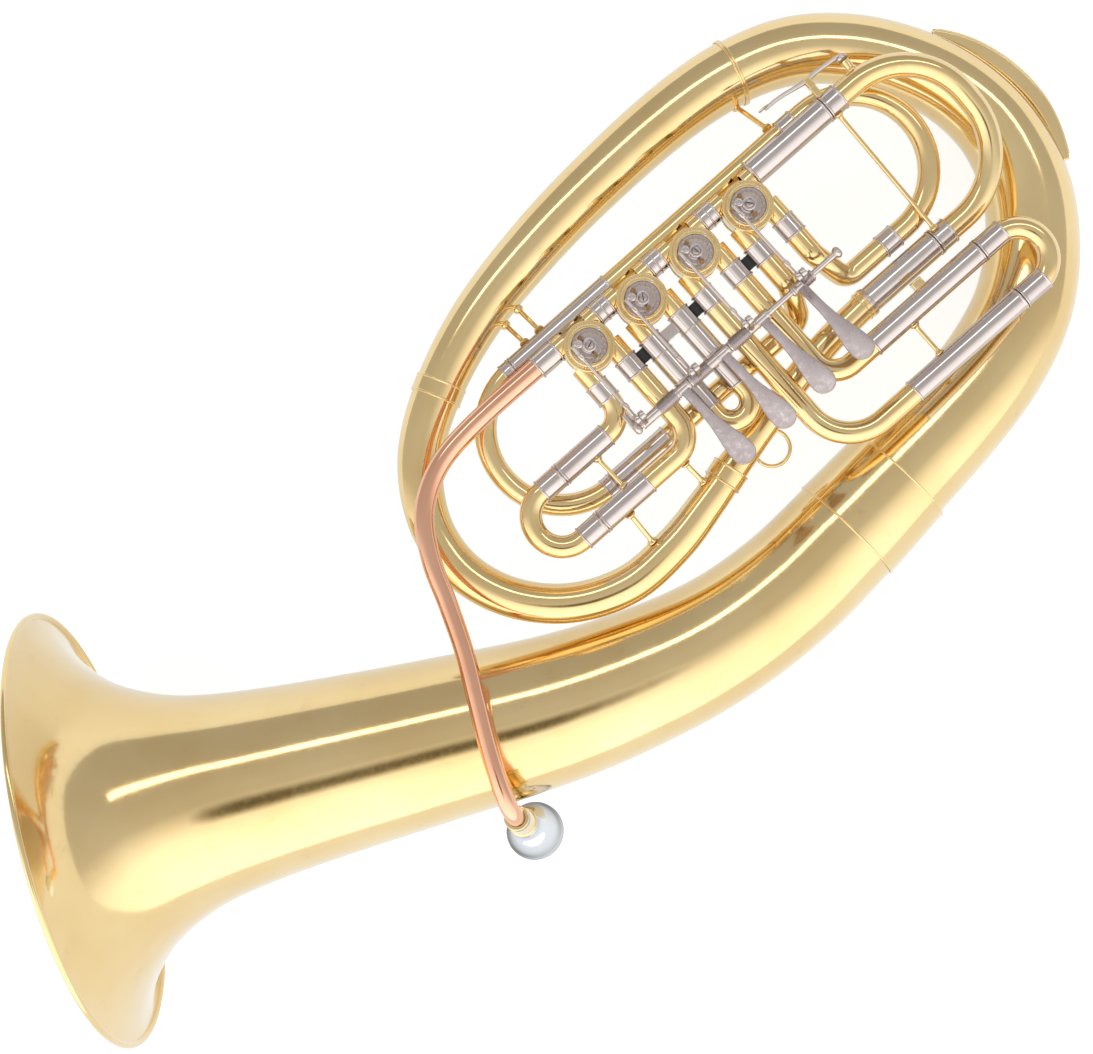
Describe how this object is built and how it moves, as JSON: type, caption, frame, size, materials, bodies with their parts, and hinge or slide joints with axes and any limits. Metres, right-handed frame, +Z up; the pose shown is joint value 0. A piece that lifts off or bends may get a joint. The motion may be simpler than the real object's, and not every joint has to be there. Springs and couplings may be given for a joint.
{
  "type": "baritone horn",
  "caption": "Oval-wrapped lacquered brass baritone horn with rotary valves, finger levers and links, pull-out slides, a rose-brass leadpipe and a flared bell.",
  "frame": {"origin": "centre of the footprint, on the table, with the horn lying valve side up on its bell rim and outer bow", "axes": "+X from the bell towards the outer bow, +Y from the lever side towards the top of the oval, +Z up, out of the valve side"},
  "size_m": [0.8609, 0.3628, 0.296],
  "materials": {
    "lacquered_brass": "polished, clear lacquer",
    "nickel_silver": "polished nickel silver",
    "rose_brass": "polished rose brass, clear lacquer",
    "silver_plate": "mirror polished silver plate"
  },
  "bodies": {
    "horn": {"bell": "lacquered_brass", "bell_garland": "lacquered_brass", "bow_guard": "lacquered_brass", "branch_crook": "lacquered_brass", "branch_ferrule": "lacquered_brass", "finger_ring": "lacquered_brass", "first_valve_tubes": "lacquered_brass", "fourth_valve_tube_long": "lacquered_brass", "fourth_valve_tube_short": "lacquered_brass", "leadpipe": "rose_brass", "leadpipe_ferrule": "nickel_silver", "lever_axle": "nickel_silver", "mouthpiece_receiver": "lacquered_brass", "outer_bow": "lacquered_brass", "second_valve_tubes": "nickel_silver", "stay_first_slide": "lacquered_brass", "stay_first_tubes": "lacquered_brass", "stay_top_left": "lacquered_brass", "stay_top_middle": "lacquered_brass", "stay_top_right": "lacquered_brass", "third_valve_tubes": "lacquered_brass", "top_branch": "lacquered_brass", "tuning_receiver": "lacquered_brass", "tuning_sleeve_lower": "nickel_silver", "tuning_sleeve_upper": "nickel_silver", "valve_cap_1": "nickel_silver", "valve_cap_2": "nickel_silver", "valve_cap_3": "nickel_silver", "valve_cap_4": "nickel_silver", "valve_casing_1": "lacquered_brass", "valve_casing_2": "lacquered_brass", "valve_casing_3": "lacquered_brass", "valve_casing_4": "lacquered_brass", "valve_connector_1": "nickel_silver", "valve_connector_2": "nickel_silver", "valve_connector_3": "nickel_silver"},
    "valve_1": {"rotor_1": "nickel_silver", "stop_arm_1": "nickel_silver"},
    "lever_1": {"lever_1": "nickel_silver"},
    "link_1": {"link_1": "nickel_silver"},
    "valve_2": {"rotor_2": "nickel_silver", "stop_arm_2": "nickel_silver"},
    "lever_2": {"lever_2": "nickel_silver"},
    "link_2": {"link_2": "nickel_silver"},
    "valve_3": {"rotor_3": "nickel_silver", "stop_arm_3": "nickel_silver"},
    "lever_3": {"lever_3": "nickel_silver"},
    "link_3": {"link_3": "nickel_silver"},
    "valve_4": {"rotor_4": "nickel_silver", "stop_arm_4": "nickel_silver"},
    "lever_4": {"lever_4": "nickel_silver"},
    "link_4": {"link_4": "nickel_silver"},
    "first_slide": {"first_valve_slide": "lacquered_brass"},
    "second_slide": {"second_valve_slide": "lacquered_brass"},
    "third_slide": {"third_valve_slide": "lacquered_brass"},
    "fourth_slide": {"fourth_valve_slide": "lacquered_brass"},
    "tuning_slide": {"tuning_slide": "lacquered_brass"},
    "water_key": {"water_key": "nickel_silver"},
    "mouthpiece": {"mouthpiece": "silver_plate"}
  },
  "joints": [
    {"name": "press_lever_1", "type": "hinge", "parent": "horn", "child": "lever_1", "pos_m": [0.11933, 0.00229, 0.14997], "axis": [0.9839, 0, -0.179], "range_deg": [0, 22], "stiffness_Nm_per_rad": 0.17, "springref_deg": -20.05},
    {"name": "swing_link_1", "type": "hinge", "parent": "lever_1", "child": "link_1", "pos_m": [0.10315, 0.00645, 0.17694], "axis": [0.9839, 0, -0.179], "range_deg": [-22, 0]},
    {"name": "turn_valve_1", "type": "hinge", "parent": "horn", "child": "valve_1", "pos_m": [0.10622, 0.062, 0.14071], "axis": [0.179, -0.0175, 0.9837], "range_deg": [0, 90]},
    {"name": "press_lever_2", "type": "hinge", "parent": "horn", "child": "lever_2", "pos_m": [0.15574, 0.00229, 0.14335], "axis": [0.9839, 0, -0.179], "range_deg": [0, 22], "stiffness_Nm_per_rad": 0.17, "springref_deg": -20.05},
    {"name": "swing_link_2", "type": "hinge", "parent": "lever_2", "child": "link_2", "pos_m": [0.14713, 0.00645, 0.16894], "axis": [0.9839, 0, -0.179], "range_deg": [-22, 0]},
    {"name": "turn_valve_2", "type": "hinge", "parent": "horn", "child": "valve_2", "pos_m": [0.15019, 0.062, 0.13271], "axis": [0.179, -0.0175, 0.9837], "range_deg": [0, 90]},
    {"name": "press_lever_3", "type": "hinge", "parent": "horn", "child": "lever_3", "pos_m": [0.1887, 0.00229, 0.13735], "axis": [0.9839, 0, -0.179], "range_deg": [0, 22], "stiffness_Nm_per_rad": 0.17, "springref_deg": -20.05},
    {"name": "swing_link_3", "type": "hinge", "parent": "lever_3", "child": "link_3", "pos_m": [0.19111, 0.00645, 0.16094], "axis": [0.9839, 0, -0.179], "range_deg": [-22, 0]},
    {"name": "turn_valve_3", "type": "hinge", "parent": "horn", "child": "valve_3", "pos_m": [0.19417, 0.062, 0.12471], "axis": [0.179, -0.0175, 0.9837], "range_deg": [0, 90]},
    {"name": "press_lever_4", "type": "hinge", "parent": "horn", "child": "lever_4", "pos_m": [0.23322, 0.00229, 0.12925], "axis": [0.9839, 0, -0.179], "range_deg": [0, 22], "stiffness_Nm_per_rad": 0.17, "springref_deg": -20.05},
    {"name": "swing_link_4", "type": "hinge", "parent": "lever_4", "child": "link_4", "pos_m": [0.23508, 0.00645, 0.15294], "axis": [0.9839, 0, -0.179], "range_deg": [-22, 0]},
    {"name": "turn_valve_4", "type": "hinge", "parent": "horn", "child": "valve_4", "pos_m": [0.23815, 0.062, 0.11671], "axis": [0.179, -0.0175, 0.9837], "range_deg": [0, 90]},
    {"name": "pull_first_slide", "type": "slide", "parent": "horn", "child": "first_slide", "axis": [-0.9839, 0, 0.179], "range_m": [0, 0.025]},
    {"name": "pull_second_slide", "type": "slide", "parent": "horn", "child": "second_slide", "axis": [-0.0031, -0.9998, -0.0172], "range_m": [0, 0.022]},
    {"name": "pull_third_slide", "type": "slide", "parent": "horn", "child": "third_slide", "axis": [0.9839, 0, -0.179], "range_m": [0, 0.06]},
    {"name": "pull_fourth_slide", "type": "slide", "parent": "horn", "child": "fourth_slide", "axis": [-0.9839, 0, 0.179], "range_m": [0, 0.028]},
    {"name": "pull_tuning_slide", "type": "slide", "parent": "horn", "child": "tuning_slide", "axis": [0.9839, 0, -0.179], "range_m": [0, 0.05]},
    {"name": "press_water_key", "type": "hinge", "parent": "tuning_slide", "child": "water_key", "pos_m": [0.31933, 0.09699, 0.10257], "axis": [0.179, -0.0175, 0.9837], "range_deg": [0, 12], "stiffness_Nm_per_rad": 0.05, "springref_deg": -17.19},
    {"name": "pull_mouthpiece", "type": "slide", "parent": "horn", "child": "mouthpiece", "axis": [-0.2011, -0.2843, -0.9374], "range_m": [0, 0.03]}
  ],
  "couplings": [
    {"joint": "swing_link_1", "follows": "press_lever_1", "ratio": -1},
    {"joint": "turn_valve_1", "follows": "press_lever_1", "ratio": 4.0909},
    {"joint": "swing_link_2", "follows": "press_lever_2", "ratio": -1},
    {"joint": "turn_valve_2", "follows": "press_lever_2", "ratio": 4.0909},
    {"joint": "swing_link_3", "follows": "press_lever_3", "ratio": -1},
    {"joint": "turn_valve_3", "follows": "press_lever_3", "ratio": 4.0909},
    {"joint": "swing_link_4", "follows": "press_lever_4", "ratio": -1},
    {"joint": "turn_valve_4", "follows": "press_lever_4", "ratio": 4.0909}
  ]
}
